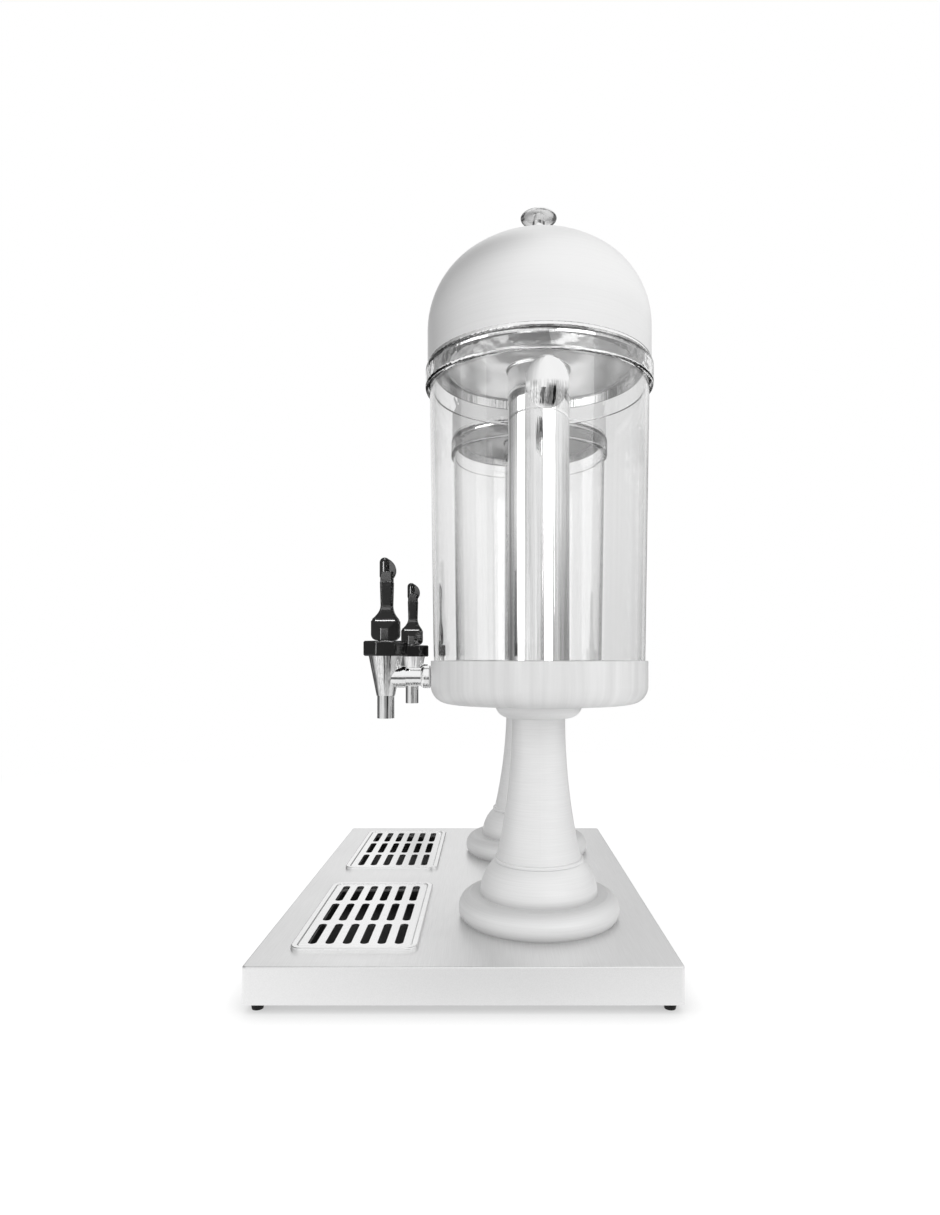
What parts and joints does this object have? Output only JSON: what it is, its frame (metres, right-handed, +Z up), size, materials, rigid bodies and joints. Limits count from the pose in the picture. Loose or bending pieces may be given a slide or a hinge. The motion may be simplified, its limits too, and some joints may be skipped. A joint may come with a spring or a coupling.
{
  "type": "twin drink dispenser",
  "caption": "Buffet drink dispenser: clear tanks with ice tubes and domed lids on turned pedestals, lever taps over drip trays on a steel box base.",
  "frame": {"origin": "middle of the base on the surface that the feet stand on", "axes": "+X along the two units, -Y the side of the taps, +Z up"},
  "size_m": [0.504, 0.36, 0.722],
  "materials": {
    "stainless_satin": "fine satin stainless sheet",
    "steel_plain": "plain steel, unpolished",
    "rubber_black": "matte moulded rubber",
    "pedestal_satin": "satin, pale silver-white",
    "cup_frosted": "frosted white, slightly streaked",
    "tank_clear": "clear, polished",
    "steel_polished": "mirror polished stainless",
    "silicone": "soft translucent silicone",
    "chrome": "bright chrome",
    "black_plastic": "gloss moulded black plastic",
    "lid_satin": "satin pearl outside, polished inside",
    "tray_bright": "bright polished pressed sheet"
  },
  "bodies": {
    "base": {"base_housing": "stainless_satin", "base_stiffener": "steel_plain", "base_feet": "rubber_black", "foot_screws": "steel_plain", "tie_rod_nuts": "steel_plain", "pedestal_foot_left": "pedestal_satin", "pedestal_collar_left": "pedestal_satin", "pedestal_column_left": "pedestal_satin", "column_cap_left": "pedestal_satin", "tie_rod_left": "steel_plain", "tank_cup_left": "cup_frosted", "tank_pad_left": "silicone", "tank_left": "tank_clear", "ice_tube_left": "steel_polished", "ice_tube_seal_left": "silicone", "side_knobs_left": "chrome", "side_knob_screws_left": "steel_plain", "tap_body_left": "chrome", "tap_shank_left": "chrome", "tap_washers_left": "silicone", "tap_locknut_left": "steel_plain", "tap_bonnet_left": "black_plastic", "pedestal_foot_right": "pedestal_satin", "pedestal_collar_right": "pedestal_satin", "pedestal_column_right": "pedestal_satin", "column_cap_right": "pedestal_satin", "tie_rod_right": "steel_plain", "tank_cup_right": "cup_frosted", "tank_pad_right": "silicone", "tank_right": "tank_clear", "ice_tube_right": "steel_polished", "ice_tube_seal_right": "silicone", "side_knobs_right": "chrome", "side_knob_screws_right": "steel_plain", "tap_body_right": "chrome", "tap_shank_right": "chrome", "tap_washers_right": "silicone", "tap_locknut_right": "steel_plain", "tap_bonnet_right": "black_plastic"},
    "lid_left": {"lid_dome_left": "lid_satin", "lid_ring_left": "steel_polished", "lid_knob_left": "chrome", "lid_screw_left": "steel_plain"},
    "valve_left": {"valve_stem_left": "steel_plain", "seat_cup_left": "silicone", "lever_pin_left": "steel_plain"},
    "lever_left": {"tap_lever_left": "black_plastic"},
    "pan_left": {"drip_pan_left": "tray_bright"},
    "grate_left": {"drip_grate_left": "tray_bright"},
    "lid_right": {"lid_dome_right": "lid_satin", "lid_ring_right": "steel_polished", "lid_knob_right": "chrome", "lid_screw_right": "steel_plain"},
    "valve_right": {"valve_stem_right": "steel_plain", "seat_cup_right": "silicone", "lever_pin_right": "steel_plain"},
    "lever_right": {"tap_lever_right": "black_plastic"},
    "pan_right": {"drip_pan_right": "tray_bright"},
    "grate_right": {"drip_grate_right": "tray_bright"}
  },
  "joints": [
    {"name": "lid_lift_left", "type": "slide", "parent": "base", "child": "lid_left", "axis": [0, 0, 1], "range_m": [0, 0.15]},
    {"name": "valve_lift_left", "type": "slide", "parent": "base", "child": "valve_left", "axis": [0, 0, 1], "range_m": [0, 0.0045], "stiffness_N_per_m": 400, "springref_m": -0.005},
    {"name": "lever_tilt_left", "type": "hinge", "parent": "valve_left", "child": "lever_left", "pos_m": [-0.125, -0.0802, 0.3158], "axis": [1, 0, 0], "range_deg": [0, 40]},
    {"name": "pan_lift_left", "type": "slide", "parent": "base", "child": "pan_left", "axis": [0, 0, 1], "range_m": [0, 0.06]},
    {"name": "grate_lift_left", "type": "slide", "parent": "pan_left", "child": "grate_left", "axis": [0, 0, 1], "range_m": [0, 0.05]},
    {"name": "lid_lift_right", "type": "slide", "parent": "base", "child": "lid_right", "axis": [0, 0, 1], "range_m": [0, 0.15]},
    {"name": "valve_lift_right", "type": "slide", "parent": "base", "child": "valve_right", "axis": [0, 0, 1], "range_m": [0, 0.0045], "stiffness_N_per_m": 400, "springref_m": -0.005},
    {"name": "lever_tilt_right", "type": "hinge", "parent": "valve_right", "child": "lever_right", "pos_m": [0.125, -0.0802, 0.3158], "axis": [1, 0, 0], "range_deg": [0, 40]},
    {"name": "pan_lift_right", "type": "slide", "parent": "base", "child": "pan_right", "axis": [0, 0, 1], "range_m": [0, 0.06]},
    {"name": "grate_lift_right", "type": "slide", "parent": "pan_right", "child": "grate_right", "axis": [0, 0, 1], "range_m": [0, 0.05]}
  ],
  "couplings": [
    {"joint": "lever_tilt_left", "follows": "valve_lift_left", "rad_per_m": 155},
    {"joint": "lever_tilt_right", "follows": "valve_lift_right", "rad_per_m": 155}
  ]
}
